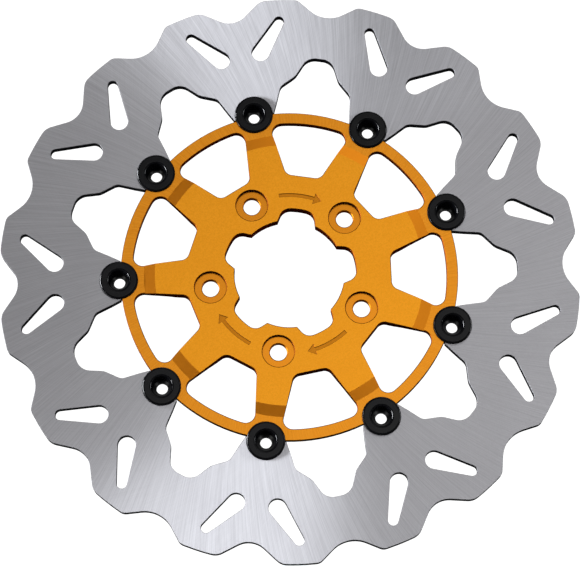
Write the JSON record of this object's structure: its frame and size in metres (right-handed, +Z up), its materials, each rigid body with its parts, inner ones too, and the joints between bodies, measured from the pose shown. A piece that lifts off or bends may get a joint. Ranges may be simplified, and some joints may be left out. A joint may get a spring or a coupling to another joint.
{
  "type": "floating brake disc",
  "caption": "Wave-edged floating brake disc for a motorcycle: steel friction ring held by drive buttons in a gold aluminium carrier.",
  "frame": {"origin": "centre of the carrier's seating face, where the disc rests on the wheel hub", "axes": "+Y is the disc's axis, pointing back towards the wheel hub; the outer face looks to -Y; +Z is up and +X is to the right of someone looking at the outer face"},
  "size_m": [0.2989, 0.0105, 0.3],
  "materials": {
    "ring_steel": "ground stainless steel with fine grinding lines",
    "carrier_gold": "gold anodised, finely bead-blasted",
    "button_black": "black hard anodised, semi-gloss",
    "spring_steel": "dark phosphated spring steel",
    "washer_steel": "zinc-plated steel"
  },
  "bodies": {
    "carrier": {"carrier": "carrier_gold"},
    "friction_ring": {"friction_ring": "ring_steel"},
    "button_1": {"drive_button_1": "button_black", "wave_washer_1": "spring_steel", "flat_washer_1": "washer_steel", "circlip_1": "spring_steel"},
    "button_2": {"drive_button_2": "button_black", "wave_washer_2": "spring_steel", "flat_washer_2": "washer_steel", "circlip_2": "spring_steel"},
    "button_3": {"drive_button_3": "button_black", "wave_washer_3": "spring_steel", "flat_washer_3": "washer_steel", "circlip_3": "spring_steel"},
    "button_4": {"drive_button_4": "button_black", "wave_washer_4": "spring_steel", "flat_washer_4": "washer_steel", "circlip_4": "spring_steel"},
    "button_5": {"drive_button_5": "button_black", "wave_washer_5": "spring_steel", "flat_washer_5": "washer_steel", "circlip_5": "spring_steel"},
    "button_6": {"drive_button_6": "button_black", "wave_washer_6": "spring_steel", "flat_washer_6": "washer_steel", "circlip_6": "spring_steel"},
    "button_7": {"drive_button_7": "button_black", "wave_washer_7": "spring_steel", "flat_washer_7": "washer_steel", "circlip_7": "spring_steel"},
    "button_8": {"drive_button_8": "button_black", "wave_washer_8": "spring_steel", "flat_washer_8": "washer_steel", "circlip_8": "spring_steel"},
    "button_9": {"drive_button_9": "button_black", "wave_washer_9": "spring_steel", "flat_washer_9": "washer_steel", "circlip_9": "spring_steel"}
  },
  "joints": [
    {"name": "ring_float", "type": "slide", "parent": "carrier", "child": "friction_ring", "axis": [0, 1, 0], "range_m": [-0.00015, 0.00015]},
    {"name": "button_1_spin", "type": "hinge", "parent": "carrier", "child": "button_1", "pos_m": [-0.01194, 0, -0.08719], "axis": [0, 1, 0], "continuous": true},
    {"name": "button_2_spin", "type": "hinge", "parent": "carrier", "child": "button_2", "pos_m": [0.04689, 0, -0.07447], "axis": [0, 1, 0], "continuous": true},
    {"name": "button_3_spin", "type": "hinge", "parent": "carrier", "child": "button_3", "pos_m": [0.08379, 0, -0.0269], "axis": [0, 1, 0], "continuous": true},
    {"name": "button_4_spin", "type": "hinge", "parent": "carrier", "child": "button_4", "pos_m": [0.08148, 0, 0.03325], "axis": [0, 1, 0], "continuous": true},
    {"name": "button_5_spin", "type": "hinge", "parent": "carrier", "child": "button_5", "pos_m": [0.04104, 0, 0.07784], "axis": [0, 1, 0], "continuous": true},
    {"name": "button_6_spin", "type": "hinge", "parent": "carrier", "child": "button_6", "pos_m": [-0.0186, 0, 0.08601], "axis": [0, 1, 0], "continuous": true},
    {"name": "button_7_spin", "type": "hinge", "parent": "carrier", "child": "button_7", "pos_m": [-0.06953, 0, 0.05394], "axis": [0, 1, 0], "continuous": true},
    {"name": "button_8_spin", "type": "hinge", "parent": "carrier", "child": "button_8", "pos_m": [-0.08793, 0, -0.00338], "axis": [0, 1, 0], "continuous": true},
    {"name": "button_9_spin", "type": "hinge", "parent": "carrier", "child": "button_9", "pos_m": [-0.06519, 0, -0.05911], "axis": [0, 1, 0], "continuous": true}
  ]
}
